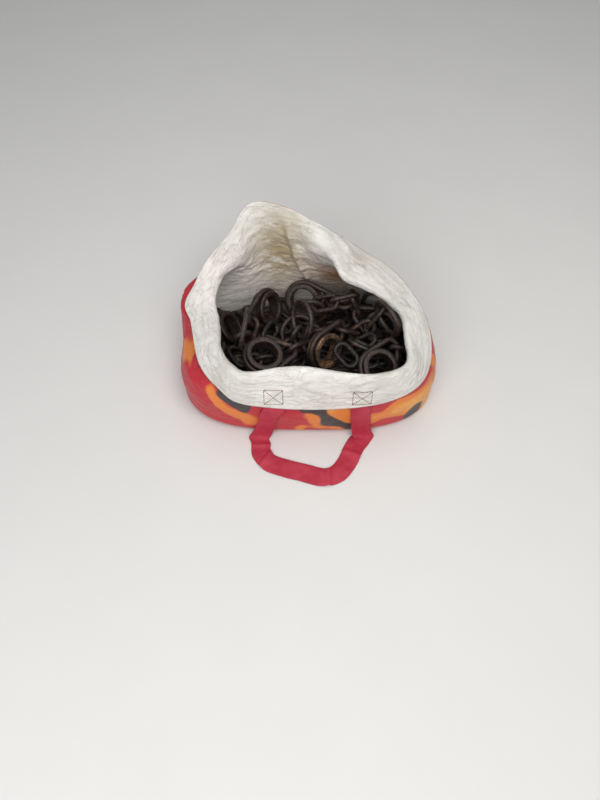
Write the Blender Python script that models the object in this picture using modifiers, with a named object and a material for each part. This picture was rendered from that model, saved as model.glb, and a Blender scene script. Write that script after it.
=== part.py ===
"""A slumped bag of woven plastic, its top turned out as a cuff, that holds a heap of iron chains.

Each chain is a flanged bush held in a pear-shaped loop, a few oval links and a ring. It is laid
piece by piece: the first is lowered onto what lies below, and each next one swings down about the
one before until it rests. The front faces -Y, the bag stands on z = 0, and the origin is on its
base. Metres.
"""

import math

import bmesh
import bpy
import numpy as np
from mathutils import Matrix, Vector
from mathutils.bvhtree import BVHTree

# Iron
LINK_ROD = 0.0094  # bar of the oval links
LINK_LENGTH = 0.058
LINK_WIDTH = 0.034
RING_ROD = 0.0092
RING_OUTER = 0.073
LOOP_ROD = 0.0106  # bar of the pear-shaped loops
LOOP_NOSE_WIDTH = 0.037  # outside width of the loop's narrow end
LOOP_REACH = 0.063  # from the bush's axis to the outside of the loop's narrow end
BUSH_BORE = 0.045
BUSH_WALL = 0.0050  # under the groove
BUSH_FLANGE = 0.065
BUSH_HEIGHT = 0.027
FLANGE_THICKNESS = 0.006
FLANGE_ROUNDING = 0.42  # of the flanges' edges, as a share of their thickness
CLEARANCE = 0.0003  # between pieces that touch
TUBE_SIDES = 8
END_STEPS = 6  # straight pieces round the end of a link or a loop
BACK_STEPS = 14  # round the back of a loop
RING_STEPS = 20
BUSH_STEPS = 20
EDGE_STEPS = 32  # round a bush, for the gaps between pieces
FULL_TURN = 2 * math.pi

# Bag
BAG_HALF_WIDTH = 0.230
BAG_HALF_DEPTH = 0.142
BAG_CENTRE = (0.005, -0.012)
BAG_CORNER = 3.0  # exponent of the plan outline, 2 is an ellipse
BULGE_HEIGHT = 0.062  # where the bag is widest
BASE_INSET = 0.020  # from the widest outline in to where the bag meets the floor
BASE_ROUNDING = 0.014  # height of the rounded edge round the base
WALL_SHARES = (0.35, 0.7)  # where the wall bends, between the bulge and the crest
CLOTH = 0.002  # woven plastic and its lining, with their slack
FOLD_RADIUS = 0.006  # of the fold along the cuff's crest
FULL_SHOULDER = 0.060  # a crest this far in leaves the wall below it standing out in a full shoulder
# Round this azimuth, for this many degrees to each side, the wall bulges out below the cuff
CORNER_AZIMUTH = 154
CORNER_SPAN = 32
CORNER_BULGE = 0.022
COLUMNS_PER_ROW = 3  # columns of the skin for each row of the table below
# Round the mouth: azimuth in degrees, the crest's inset from the widest outline and its height,
# and the same two for the hem. The rear stands up to a peak, and the rest is turned out and down.
MOUTH = [
    (246, 0.025, 0.163, -0.002, 0.090),
    (268, 0.024, 0.165, -0.004, 0.089),
    (292, 0.016, 0.163, -0.004, 0.091),
    (312, 0.012, 0.158, -0.002, 0.094),
    (328, 0.024, 0.153, 0.004, 0.101),
    (344, 0.060, 0.150, 0.017, 0.114),
    (2, 0.068, 0.151, 0.024, 0.130),
    (20, 0.096, 0.160, 0.039, 0.147),
    (42, 0.104, 0.185, 0.024, 0.172),
    (68, 0.050, 0.208, 0.000, 0.202),
    (90, 0.012, 0.198, -0.012, 0.232),
    (107, -0.004, 0.182, -0.028, 0.250),
    (121, -0.006, 0.178, -0.038, 0.249),
    (136, 0.022, 0.174, -0.006, 0.213),
    (149, 0.040, 0.166, 0.010, 0.186),
    (159, 0.052, 0.153, 0.018, 0.160),
    (167, 0.062, 0.145, 0.009, 0.131),
    (177, 0.071, 0.144, 0.025, 0.130),
    (191, 0.074, 0.145, 0.034, 0.126),
    (203, 0.064, 0.148, 0.030, 0.117),
    (215, 0.043, 0.151, 0.017, 0.108),
    (228, 0.020, 0.156, -0.001, 0.097),
]

# Handles: webbing sewn under the cuff
STRAP_WIDTH = 0.034
STRAP_THICKNESS = 0.0025
STRAP_LINES = (-0.5, 0.0, 0.5)  # lines of points along the webbing, as shares of its width
STRAP_SPACING = 0.145  # between the two ends of a handle
STRAP_MIDDLE = 0.019  # the handles' middle, to the right of the origin
HANDLE_REACH = 0.105  # how far the front handle lies out over the floor
REAR_DROP = 0.100  # how far the rear handle hangs down
REAR_STANDOFF = 0.008  # of the rear handle behind the bag's widest outline
REAR_SLACK = 0.003  # where the twisted part of the cuff stands off the webbing
SEAT = 0.0008  # between the webbing and the curved cloth that it lies on
# Each bend of a handle: how far across, in spacings from its middle, and how far out or up.
FRONT_HANDLE = [
    (-0.66, 0.00), (-0.67, 0.12), (-0.66, 0.30), (-0.56, 0.48), (-0.38, 0.58), (-0.20, 0.65),
    (0.08, 0.75), (0.24, 0.68), (0.36, 0.47), (0.45, 0.20), (0.52, 0.06), (0.54, 0.00),
]
REAR_HANDLE = [
    (-0.50, 0.55), (-0.48, 0.30), (-0.34, 0.06), (-0.05, 0.0),
    (0.28, 0.05), (0.45, 0.28), (0.50, 0.55), (0.50, 0.7),
]

# Heap
CORE_HEIGHT = 0.038
CORE_RISE = 0.08  # of its top, for each metre towards the back
CORE_LUMP = 0.008  # height of the core's lumps
CORE_LUMP_LENGTH = 0.075
CORE_GAP = 0.003  # between the core and the cloth
CORE_RINGS = (0.88, 0.66, 0.44, 0.22)  # rings of its top, as shares of the bag's outline
LINKS = 3  # in each chain
# Each chain: which end is laid first, its plan place as shares of the bag's half width and depth,
# the heading, pitch and roll of that first piece in degrees, then the headings of those that follow.
CHAINS = [
    ("ring", (-0.05, 0.17), (285, -42, 0), (290, 250, 220, 200)),
    ("bush", (-0.56, -0.44), (35, 10, 15), (20, 0, 350, 20)),
    ("bush", (-0.62, 0.21), (255, 15, -50), (265, 290, 320, 350)),
    ("bush", (0.15, -0.17), (55, 20, 65), (30, 350, 20, 60)),
    ("bush", (-0.31, 0.48), (235, 20, -65), (240, 260, 285, 300)),
    ("bush", (-0.01, 0.63), (350, 10, 55), (340, 350, 0, 340)),
    ("bush", (0.61, 0.24), (150, 10, -50), (160, 190, 170, 180)),
    ("bush", (0.29, -0.60), (175, 5, 20), (180, 165, 190, 200)),
    ("bush", (0.55, -0.50), (60, 15, 25), (45, 90, 150, 190)),
]

# How a piece may swing: turns away from its heading, tried group by group, rolls and pitches
SPREADS = ((0,), (-20, 20), (-45, 45), (-80, 80), (-120, 120, 180))
ROLLS = (0, -30, 30, 55)
PITCHES = range(80, -81, -8)
DROP_STEP = 0.001  # how closely a first piece is set down
DROP_STEPS = 250
SETTLING_STEPS = 4  # halvings of the last step down
# A piece is hooked by drawing it tight, between these shares of the two bars' mean thickness
HOOK_SLACK = 1.8
HOOK_TIGHT = 0.8
HOOK_TRIES = 6
SAMPLE_SPACING = 0.002  # of the points along the bars, for the gaps between pieces
WALL_SEARCH = 0.03  # how far from a point the bag's wall is looked for


def start_clean():
    """An empty scene, and the collection of the parts."""
    for item in list(bpy.data.objects):
        bpy.data.objects.remove(item, do_unlink=True)
    parts = bpy.data.collections.new("chain_heap")
    bpy.context.scene.collection.children.link(parts)
    return parts


def material(name, colour, roughness, metallic):
    made = bpy.data.materials.new(name)
    made.use_nodes = True
    shader = made.node_tree.nodes["Principled BSDF"]
    shader.inputs["Base Color"].default_value = (*colour, 1)
    shader.inputs["Roughness"].default_value = roughness
    shader.inputs["Metallic"].default_value = metallic
    return made


def add(parts, name, data, finish, matrix=None):
    """An object for one piece, shaded smooth, in the parts' collection."""
    item = bpy.data.objects.new(name, data)
    item.matrix_world = matrix or Matrix()
    parts.objects.link(item)
    if not data.materials:
        data.materials.append(finish)
    if isinstance(data, bpy.types.Mesh):
        data.shade_smooth()
    return item


# Iron pieces


def arc(centre, radius, start, end, steps):
    """Points on an arc in the XY plane, the last one left out."""
    angles = [start + (end - start) * i / steps for i in range(steps)]
    return [(centre + radius * math.cos(a), radius * math.sin(a), 0.0) for a in angles]


def link_line():
    """The bar's centre line in an oval link, long axis along X."""
    radius = (LINK_WIDTH - LINK_ROD) / 2
    straight = (LINK_LENGTH - LINK_WIDTH) / 2
    quarter = math.pi / 2
    right = arc(straight, radius, -quarter, quarter, END_STEPS) + [(straight, radius, 0.0)]
    left = arc(-straight, radius, quarter, 3 * quarter, END_STEPS) + [(-straight, -radius, 0.0)]
    return right + left


def ring_line():
    return arc(0.0, (RING_OUTER - RING_ROD) / 2, 0.0, FULL_TURN, RING_STEPS)


def groove_radius():
    return BUSH_BORE / 2 + BUSH_WALL


def loop_line():
    """The bar's centre line in a pear-shaped loop: round the bush's groove, with its nose along +X."""
    big = groove_radius() + CLEARANCE + LOOP_ROD / 2
    small = (LOOP_NOSE_WIDTH - LOOP_ROD) / 2
    nose = LOOP_REACH - LOOP_ROD / 2 - small
    lean = math.acos((big - small) / nose)
    back = arc(0.0, big, lean, FULL_TURN - lean, BACK_STEPS)
    back.append((big * math.cos(lean), -big * math.sin(lean), 0.0))
    front = arc(nose, small, -lean, lean, END_STEPS)
    return back + front + [(nose + small * math.cos(lean), small * math.sin(lean), 0.0)]


def rod_curve(name, line, diameter):
    """A closed bar that follows a line of points."""
    curve = bpy.data.curves.new(name, "CURVE")
    curve.dimensions = "3D"
    curve.bevel_depth = diameter / 2
    curve.bevel_resolution = TUBE_SIDES // 4
    spline = curve.splines.new("POLY")
    spline.points.add(len(line) - 1)
    for point, place in zip(spline.points, line):
        point.co = (*place, 1)
    spline.use_cyclic_u = True
    spline.use_smooth = True
    return curve


def bush_profile():
    """Outer side from top to bottom, then the bore."""
    flange, bore, groove = BUSH_FLANGE / 2, BUSH_BORE / 2, groove_radius()
    top, lip = BUSH_HEIGHT / 2, BUSH_HEIGHT / 2 - FLANGE_THICKNESS
    edge = FLANGE_THICKNESS * FLANGE_ROUNDING
    half = [(bore, top - edge), (bore + edge, top), (flange - edge, top), (flange, top - edge)]
    half += [(flange - edge, lip), (groove, lip)]
    return half + [(x, -z) for x, z in reversed(half)]


def bush_mesh():
    """A spool with a flange at each end, turned about its axis."""
    shape = bmesh.new()
    points = [shape.verts.new((x, 0, z)) for x, z in bush_profile()]
    for a, b in zip(points, points[1:] + points[:1]):
        shape.edges.new((a, b))
    bmesh.ops.spin(
        shape, geom=shape.verts[:] + shape.edges[:], axis=(0, 0, 1), cent=(0, 0, 0),
        angle=FULL_TURN, steps=BUSH_STEPS, use_merge=True,
    )
    bmesh.ops.remove_doubles(shape, verts=shape.verts, dist=0.00005)
    bmesh.ops.recalc_face_normals(shape, faces=shape.faces)
    mesh = bpy.data.meshes.new("bush")
    shape.to_mesh(mesh)
    shape.free()
    mesh.set_sharp_from_angle(angle=math.radians(40))
    return mesh


class Piece:
    """A kind of piece: its bars as points with radii, and the bends that its neighbours hook."""

    def __init__(self, lines, rod, ends, radius):
        points, radii = [], []
        for line, reach in lines:
            for a, b in zip(line, line[1:] + line[:1]):
                steps = max(1, round(math.dist(a, b) / SAMPLE_SPACING))
                for i in range(steps):
                    points.append([p + (q - p) * i / steps for p, q in zip(a, b)])
                    radii.append(reach)
        self.points = np.array(points)
        self.radii = np.array(radii)
        self.rod = rod
        self.first, self.last = ends  # x of the bend's centre at each end
        self.radius = radius


def level(line, height):
    return [(x, y, height) for x, y, _ in line]


def piece_kinds():
    bend = (LINK_WIDTH - LINK_ROD) / 2
    centre = (LINK_LENGTH - LINK_WIDTH) / 2
    link = Piece([(link_line(), LINK_ROD / 2)], LINK_ROD, (-centre, centre), bend)
    bend = (RING_OUTER - RING_ROD) / 2
    ring = Piece([(ring_line(), RING_ROD / 2)], RING_ROD, (0.0, 0.0), bend)
    bend = (LOOP_NOSE_WIDTH - LOOP_ROD) / 2
    nose = LOOP_REACH - LOOP_ROD / 2 - bend
    reach = FLANGE_THICKNESS / 2
    lip, wall = BUSH_FLANGE / 2 - reach, BUSH_BORE / 2 + reach
    edge = BUSH_HEIGHT / 2 - reach
    lines = [(loop_line(), LOOP_ROD / 2)]
    for radius, heights in ((lip, (-1, 1)), ((lip + wall) / 2, (-1, 1)), (wall, (-1, -0.5, 0, 0.5, 1))):
        circle = arc(0.0, radius, 0.0, FULL_TURN, EDGE_STEPS)
        lines += [(level(circle, height * edge), reach) for height in heights]
    loop = Piece(lines, LOOP_ROD, (nose, nose), bend)
    return {"link": link, "ring": ring, "loop": loop}


# Laying the chains


def frame_of(heading, pitch, roll):
    """Axes of a piece: along it, across it and square to its plane."""
    heading, pitch, roll = (math.radians(a) for a in (heading, pitch, roll))
    level = math.cos(pitch)
    along = Vector((level * math.cos(heading), level * math.sin(heading), math.sin(pitch)))
    side = Vector((-math.sin(heading), math.cos(heading), 0))
    across = math.cos(roll) * side + math.sin(roll) * along.cross(side)
    return along, across, along.cross(across)


def placed(along, across, square, place):
    matrix = Matrix((along, across, square)).transposed().to_4x4()
    matrix.translation = place
    return matrix


def moved(points, matrix):
    turn = np.array(matrix.to_3x3())
    return points @ turn.T + np.array(matrix.translation)


def within_bag(points):
    """True when no point stands outside the bag's widest outline."""
    x, y = points[:, 0] - BAG_CENTRE[0], points[:, 1] - BAG_CENTRE[1]
    share = np.abs(x / BAG_HALF_WIDTH) ** BAG_CORNER + np.abs(y / BAG_HALF_DEPTH) ** BAG_CORNER
    return share.max() < 1


class Heap:
    """What lies in the bag so far, and whether another piece has room."""

    def __init__(self, walls):
        self.walls = walls  # surfaces of the bag and of the core
        self.laid = []  # (points, radii, centre, reach)

    def room(self, kind, matrix):
        """True when a piece of this kind clears all that is laid."""
        points = moved(kind.points, matrix)
        if not within_bag(points):
            return False
        centre = points.mean(axis=0)
        reach = np.linalg.norm(points - centre, axis=1).max()
        near = []
        for others, radii, middle, far in self.laid:
            if np.linalg.norm(centre - middle) < reach + far + 0.01:
                near.append((others, radii))
        for step in (4, 1):
            own, own_radii = points[::step], kind.radii[::step]
            for others, radii in near:
                if apart(own, own_radii, others[::step], radii[::step]) < 0.99 * CLEARANCE:
                    return False
        for point, radius in zip(points[::2], kind.radii[::2]):
            place = Vector(point)
            for wall in self.walls:
                seat, normal, _, distance = wall.find_nearest(place, WALL_SEARCH)
                if seat and (distance < radius + CLEARANCE or (place - seat).dot(normal) < 0):
                    return False
        return True

    def lay(self, kind, matrix):
        points = moved(kind.points, matrix)
        centre = points.mean(axis=0)
        self.laid.append((points, kind.radii, centre, np.linalg.norm(points - centre, axis=1).max()))
        return points, kind.radii


def lowered(heap, kind, axes, plan):
    """The first piece of a chain, as low over its plan place as it has room."""
    for step in range(DROP_STEPS):
        resting = placed(*axes, (*plan, step * DROP_STEP))
        if heap.room(kind, resting):
            break
    else:
        raise RuntimeError(f"a first piece finds no room over {plan}")
    fall = DROP_STEP / 2
    for _ in range(SETTLING_STEPS):
        lower = resting.copy()
        lower.translation.z -= fall
        if heap.room(kind, lower):
            resting = lower
        fall /= 2
    return resting


def direction(heading, pitch):
    heading, pitch = math.radians(heading), math.radians(pitch)
    level = math.cos(pitch)
    return Vector((level * math.cos(heading), level * math.sin(heading), math.sin(pitch)))


def apart(points, radii, others, other_radii):
    """The narrowest gap between the bars of two pieces."""
    gaps = np.linalg.norm(points[:, None] - others[None], axis=2)
    return (gaps - radii[:, None] - other_radii[None]).min()


def hooked(parent, parent_kind, bars, kind, outward, roll, end):
    """Where a piece lies when its bend pulls on its neighbour's, or None if they can't hook."""
    start = parent.to_3x3()
    normal, facing = start @ Vector((0, 0, 1)), start @ Vector((1, 0, 0))
    pull = (outward - outward.dot(normal) * normal).normalized()
    if parent_kind.last and pull.dot(facing) < 0.1:
        return None
    along = outward if end == "first" else -outward
    crosswise = normal.cross(pull).cross(along).normalized()
    across = math.cos(roll) * crosswise + math.sin(roll) * along.cross(crosswise)
    contact = parent @ Vector((parent_kind.last, 0, 0)) + parent_kind.radius * pull
    own = kind.first - kind.radius if end == "first" else kind.last + kind.radius
    thick = (parent_kind.rod + kind.rod) / 2
    slack, tight = HOOK_SLACK * thick, HOOK_TIGHT * thick
    matrix = None
    for _ in range(HOOK_TRIES):
        drawn = slack if matrix is None else (slack + tight) / 2
        tried = placed(along, across, along.cross(across), contact - drawn * outward - along * own)
        if apart(moved(kind.points, tried), kind.radii, *bars) >= CLEARANCE:
            matrix, slack = tried, drawn
        elif matrix is None:
            return None
        else:
            tight = drawn
    return matrix


def laid_chains(heap, kinds):
    """Each chain's pieces as kind and place: all first pieces lowered, then the others swung down."""
    chains = []
    for start, plan, pose, _ in CHAINS:
        kind = "loop" if start == "bush" else "ring"
        plan = (plan[0] * BAG_HALF_WIDTH, plan[1] * BAG_HALF_DEPTH)
        matrix = lowered(heap, kinds[kind], frame_of(*pose), plan)
        chains.append([(kind, matrix, heap.lay(kinds[kind], matrix))])
    for number, (chain, (start, _, _, headings)) in enumerate(zip(chains, CHAINS), 1):
        names = ["link"] * LINKS + ["ring" if start == "bush" else "loop"]
        if not laid_on(heap, kinds, chain, list(zip(names, headings))):
            raise RuntimeError(f"chain {number} finds no room in the heap")
    return chains


def laid_on(heap, kinds, chain, rest):
    """Lays the rest of a chain, taking a piece up again where the next one would have no room."""
    if not rest:
        return True
    name, heading = rest[0]
    for matrix in swings(heap, kinds, chain[-1], name, heading):
        chain.append((name, matrix, heap.lay(kinds[name], matrix)))
        if laid_on(heap, kinds, chain, rest[1:]):
            return True
        chain.pop()
        heap.laid.pop()
    return False


def swings(heap, kinds, before, name, heading):
    """Where the next piece may rest, swung down about the one before, the lowest place first."""
    kind, parent_kind = kinds[name], kinds[before[0]]
    parent, bars = before[1:]
    end = "last" if name == "loop" else "first"
    for spread in SPREADS:
        found = []
        for turn in spread:
            for roll in ROLLS:
                rest = None
                for pitch in PITCHES:
                    outward = direction(heading + turn, pitch)
                    matrix = hooked(parent, parent_kind, bars, kind, outward, math.radians(roll), end)
                    free = matrix is not None and heap.room(kind, matrix)
                    if not free and rest is not None:
                        break
                    if free:
                        rest = matrix
                if rest is not None:
                    found.append(rest)
        yield from sorted(found, key=lambda matrix: matrix.translation.z)


# Bag


def smooth(values, place):
    """A value at a place along a closed row of values, in steps of one value."""
    base = math.floor(place)
    a, b, c, d = (values[(base + i) % len(values)] for i in (-1, 0, 1, 2))
    t = place - base
    return b + 0.5 * t * (c - a + t * (2 * a - 5 * b + 4 * c - d + t * (3 * (b - c) + d - a)))


def outline_reach(azimuth):
    """From the bag's middle to its widest outline."""
    across = abs(math.cos(azimuth) / BAG_HALF_WIDTH) ** BAG_CORNER
    deep = abs(math.sin(azimuth) / BAG_HALF_DEPTH) ** BAG_CORNER
    return (across + deep) ** (-1 / BAG_CORNER)


def mouth_at(place):
    """Azimuth, and insets and heights of the crest and hem, at a place along the table of the mouth."""
    azimuths = [row[0] for row in MOUTH]
    rises = [(azimuths[(i + 1) % len(MOUTH)] - azimuths[i]) % 360 for i in range(len(MOUTH))]
    base = math.floor(place)
    azimuth = azimuths[base % len(MOUTH)] + (place - base) * rises[base % len(MOUTH)]
    return math.radians(azimuth), *(smooth([row[i] for row in MOUTH], place) for i in (1, 2, 3, 4))


def bulging(azimuth):
    """From 1 at the rear left corner to 0 a little way from it."""
    away = min(1.0, abs(math.degrees(azimuth) - CORNER_AZIMUTH) / CORNER_SPAN)
    return 1 - away * away * (3 - 2 * away)


def bag_profile(place):
    """Inset and height of the bag's outer face up one column, from the base to the hem."""
    azimuth, crest_in, crest_z, hem_in, hem_z = mouth_at(place)
    turn = math.atan2(max(crest_in - hem_in, 0.0), hem_z - crest_z)
    folded = (1 - math.cos(turn)) / 2
    points = [
        (0.5 * outline_reach(azimuth), 0.0),
        (BASE_INSET, 0.0),
        (BASE_INSET * 0.35, BASE_ROUNDING * 0.35),
        (BASE_INSET * 0.10, BASE_ROUNDING),
        (0.0, BULGE_HEIGHT),
    ]
    top_in = crest_in + folded * FOLD_RADIUS
    top_z = crest_z - FOLD_RADIUS
    full = min(1.0, max(0.0, top_in / FULL_SHOULDER))
    corner = bulging(azimuth)
    for t in WALL_SHARES:
        share = t * t * ((1 - full) * (3 - 2 * t) + full)
        inset = (1 - corner) * top_in * share - corner * CORNER_BULGE * t
        points.append((inset, BULGE_HEIGHT + (top_z - BULGE_HEIGHT) * t))
    points.append((top_in, top_z))
    points.append((crest_in, crest_z))
    start = (crest_in - folded * FOLD_RADIUS, crest_z + math.cos(turn) * FOLD_RADIUS)
    for t in (0.0, 0.5, 1.0):
        points.append((start[0] + (hem_in - start[0]) * t, start[1] + (hem_z - start[1]) * t))
    return azimuth, points


def bag_point(azimuth, inset, height):
    reach = outline_reach(azimuth) - inset
    x, y = BAG_CENTRE
    return Vector((x + reach * math.cos(azimuth), y + reach * math.sin(azimuth), height))


def loft(name, rings, close_first, close_last):
    """A skin through closed rings of as many points, with a flat fan over an end that is closed."""
    shape = bmesh.new()
    rows = [[shape.verts.new(point) for point in ring] for ring in rings]
    count = len(rings[0])
    for lower, upper in zip(rows, rows[1:]):
        for i in range(count):
            j = (i + 1) % count
            shape.faces.new((lower[i], lower[j], upper[j], upper[i]))
    for row, wanted in ((rows[0], close_first), (rows[-1], close_last)):
        if wanted:
            middle = shape.verts.new(sum((v.co for v in row), Vector()) / count)
            for i in range(count):
                shape.faces.new((row[i], row[(i + 1) % count], middle))
    bmesh.ops.recalc_face_normals(shape, faces=shape.faces)
    mesh = bpy.data.meshes.new(name)
    shape.to_mesh(mesh)
    shape.free()
    return mesh


def bag_columns():
    count = len(MOUTH) * COLUMNS_PER_ROW
    return [bag_profile(i / COLUMNS_PER_ROW) for i in range(count)]


def bag_surface():
    columns = bag_columns()
    levels = range(len(columns[0][1]))
    rings = [[bag_point(azimuth, *points[level]) for azimuth, points in columns] for level in levels]
    mesh = loft("bag_shell", rings, True, False)
    turn_base_down(mesh)
    return mesh


def turn_base_down(mesh):
    """Makes the base's faces, and so all of the skin, look out of the bag."""
    lowest = min(mesh.polygons, key=lambda face: face.center.z)
    if lowest.normal.z > 0:
        mesh.flip_normals()


def core_height(x, y):
    """Height of the hidden pieces' lumpy top."""
    wave = FULL_TURN / CORE_LUMP_LENGTH
    return CORE_HEIGHT + CORE_RISE * y + CORE_LUMP * math.sin(wave * x + 1.0) * math.cos(wave * y)


def core_mesh():
    """One solid for the pieces under those that show, as wide as the bag's inside."""
    rings = []
    columns = bag_columns()
    room = CLOTH + CORE_GAP
    for level in (1, 2, 3):
        lift = (CLOTH + CLEARANCE) if level == 1 else CLOTH + CLEARANCE + 0.002 * (level - 1)
        rings.append([bag_point(a, p[level][0] + room, p[level][1] + lift) for a, p in columns])
    edge = CORE_HEIGHT - 2 * CORE_LUMP
    rings.append([bag_point(a, room, edge) for a, _ in columns])
    for share in CORE_RINGS:
        ring = []
        for azimuth, _ in columns:
            point = bag_point(azimuth, (1 - share) * outline_reach(azimuth), 0.0)
            point.z = core_height(point.x, point.y)
            ring.append(point)
        rings.append(ring)
    mesh = loft("heap_core", rings, True, True)
    turn_base_down(mesh)
    return mesh


# Handles


def ribbon(name, rows):
    """Webbing through rows of points, each from one edge to the other."""
    shape = bmesh.new()
    lines = [[shape.verts.new(point) for point in row] for row in rows]
    for upper, lower in zip(lines, lines[1:]):
        for i in range(len(upper) - 1):
            shape.faces.new((upper[i], upper[i + 1], lower[i + 1], lower[i]))
    mesh = bpy.data.meshes.new(name)
    shape.to_mesh(mesh)
    shape.free()
    return mesh


def eased(points, steps):
    """A smooth open line through points, with steps between each two."""
    padded = [points[0]] + list(points) + [points[-1]]
    line = []
    for a, b, c, d in zip(padded, padded[1:], padded[2:], padded[3:]):
        for i in range(steps):
            t = i / steps
            bend = 2 * a - 5 * b + 4 * c - d + t * (3 * (b - c) + d - a)
            line.append(b + 0.5 * t * (c - a + t * bend))
    return line + [points[-1]]


def place_over(x, rear):
    """The place along the mouth whose hem lies at x, on the front or the rear side."""
    best, found = None, 0.0
    for i in range(len(MOUTH) * 40):
        azimuth, points = bag_profile(i / 40)
        point = bag_point(azimuth, *points[-1])
        if (point.y > BAG_CENTRE[1]) != rear:
            continue
        if best is None or abs(point.x - x) < best:
            best, found = abs(point.x - x), i / 40
    return found


def under_cuff(place, share, slack=0.0):
    """A point of the webbing against the cuff's hidden face, at a share of the way up from the hem."""
    azimuth, points = bag_profile(place)
    top, hem = (bag_point(azimuth, *points[i]) for i in (-3, -1))
    around = Vector((-math.sin(azimuth), math.cos(azimuth), 0))
    lined = (hem - top).cross(around).normalized()
    return hem + (top - hem) * share - lined * (STRAP_THICKNESS / 2 + SEAT + slack)


def on_wall(place, inset, height):
    """A point of the webbing against the bag's wall."""
    return bag_point(mouth_at(place)[0], inset - STRAP_THICKNESS / 2 - SEAT, height)


def leg(middle, rear, stations, drift=0.0):
    """Rows of webbing down one leg of a handle, from stations that give a point over a place.

    Each station comes with the share of the leg's sideways drift that is reached there."""
    rows = []
    for share, station in stations:
        centre = middle + share * drift
        rows.append([station(place_over(centre + side * STRAP_WIDTH, rear)) for side in STRAP_LINES])
    return rows


def lying(line, normal):
    """Rows of webbing along a line, flat against a surface with this normal."""
    rows = []
    for before, point, after in zip(line, line[1:], line[2:]):
        side = (after - before).cross(normal).normalized() * STRAP_WIDTH
        rows.append([point - share * side for share in STRAP_LINES])
    return rows


def front_handle_rows():
    """Down from under the cuff, out over the floor and back."""
    floor = STRAP_THICKNESS / 2 + CLEARANCE
    stations = [
        (0.0, lambda place: under_cuff(place, 0.6)),
        (0.0, lambda place: under_cuff(place, 0.1)),
        (0.05, lambda place: under_cuff(place, -0.15)),
        (0.35, lambda place: on_wall(place, 0.0, BULGE_HEIGHT)),
        (0.65, lambda place: on_wall(place, -0.001, BULGE_HEIGHT / 2)),
        (0.90, lambda place: on_wall(place, -0.004, floor + 0.010)),
        (1.0, lambda place: on_wall(place, -0.010, floor + 0.001)),
    ]
    legs = []
    for side, (across, _) in ((-0.5, FRONT_HANDLE[0]), (0.5, FRONT_HANDLE[-1])):
        drift = (across - side) * STRAP_SPACING
        legs.append(leg(STRAP_MIDDLE + side * STRAP_SPACING, False, stations, drift))
    start = legs[0][-1][0].y
    line = []
    for across, out in FRONT_HANDLE:
        line.append(Vector((STRAP_MIDDLE + across * STRAP_SPACING, start - out * HANDLE_REACH, floor)))
    there = legs[0]
    back = [row[::-1] for row in reversed(legs[1])]
    return there + lying(line, Vector((0, 0, 1))) + back


def rear_handle_rows():
    """From the raised panel down behind the bag, and up again under the cuff."""
    left = leg(STRAP_MIDDLE - STRAP_SPACING / 2, True, [
        (0, lambda place: under_cuff(place, 0.35, 2 * SEAT)),
        (0, lambda place: under_cuff(place, 0.9)),
        (0, lambda place: on_wall(place, *bag_profile(place)[1][6])),
    ])
    right = leg(STRAP_MIDDLE + STRAP_SPACING / 2, True, [
        (0, lambda place: under_cuff(place, 0.55, REAR_SLACK)),
        (0, lambda place: under_cuff(place, 0.1, REAR_SLACK)),
    ])
    lowest = bag_profile(place_over(STRAP_MIDDLE, True))[1][8][1] - REAR_DROP
    behind = BAG_CENTRE[1] + BAG_HALF_DEPTH + REAR_STANDOFF
    line = []
    for across, rise in REAR_HANDLE:
        line.append(Vector((STRAP_MIDDLE + across * STRAP_SPACING, behind, lowest + rise * REAR_DROP)))
    back = [row[::-1] for row in reversed(right)]
    return left + lying(line, Vector((0, 1, 0))) + back


def handle(parts, name, rows, finish):
    """A webbing handle through a few rows, made smooth and given its thickness."""
    lines = [eased(line, 2) for line in zip(*rows)]
    item = add(parts, name, ribbon(name, list(zip(*lines))), finish)
    thick = item.modifiers.new("webbing", "SOLIDIFY")
    thick.thickness = STRAP_THICKNESS
    thick.offset = 0
    return item


def main():
    parts = start_clean()
    iron = material("iron", (0.035, 0.027, 0.022), 0.55, 0.85)
    lining = material("lining", (0.74, 0.72, 0.66), 0.6, 0.0)
    webbing = material("webbing", (0.50, 0.03, 0.06), 0.75, 0.0)

    bag = add(parts, "bag_shell", bag_surface(), lining)
    skin = bag.modifiers.new("cloth", "SOLIDIFY")
    skin.thickness = CLOTH
    skin.offset = -1
    core = add(parts, "heap_core", core_mesh(), iron)
    handle(parts, "front_handle", front_handle_rows(), webbing)
    handle(parts, "rear_handle", rear_handle_rows(), webbing)

    kinds = piece_kinds()
    shapes = {
        "link": rod_curve("link", link_line(), LINK_ROD),
        "ring": rod_curve("ring", ring_line(), RING_ROD),
        "loop": rod_curve("loop", loop_line(), LOOP_ROD),
        "bush": bush_mesh(),
    }
    bpy.context.view_layer.update()
    view = bpy.context.evaluated_depsgraph_get()
    heap = Heap([BVHTree.FromObject(item, view) for item in (bag, core)])
    for number, chain in enumerate(laid_chains(heap, kinds), 1):
        for step, (kind, matrix, _) in enumerate(chain):
            name = f"chain_{number}_{kind}" + (f"_{step}" if kind == "link" else "")
            add(parts, name, shapes[kind], iron, matrix)
            if kind == "loop":
                add(parts, f"chain_{number}_bush", shapes["bush"], iron, matrix)


main()
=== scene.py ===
"""Looks of a heap of forged iron chains in a slumped bag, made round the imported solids. Metres."""

import math
import random

import bmesh
import bpy
import numpy as np
from mathutils import Matrix, Vector, noise
from mathutils.bvhtree import BVHTree


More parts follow.
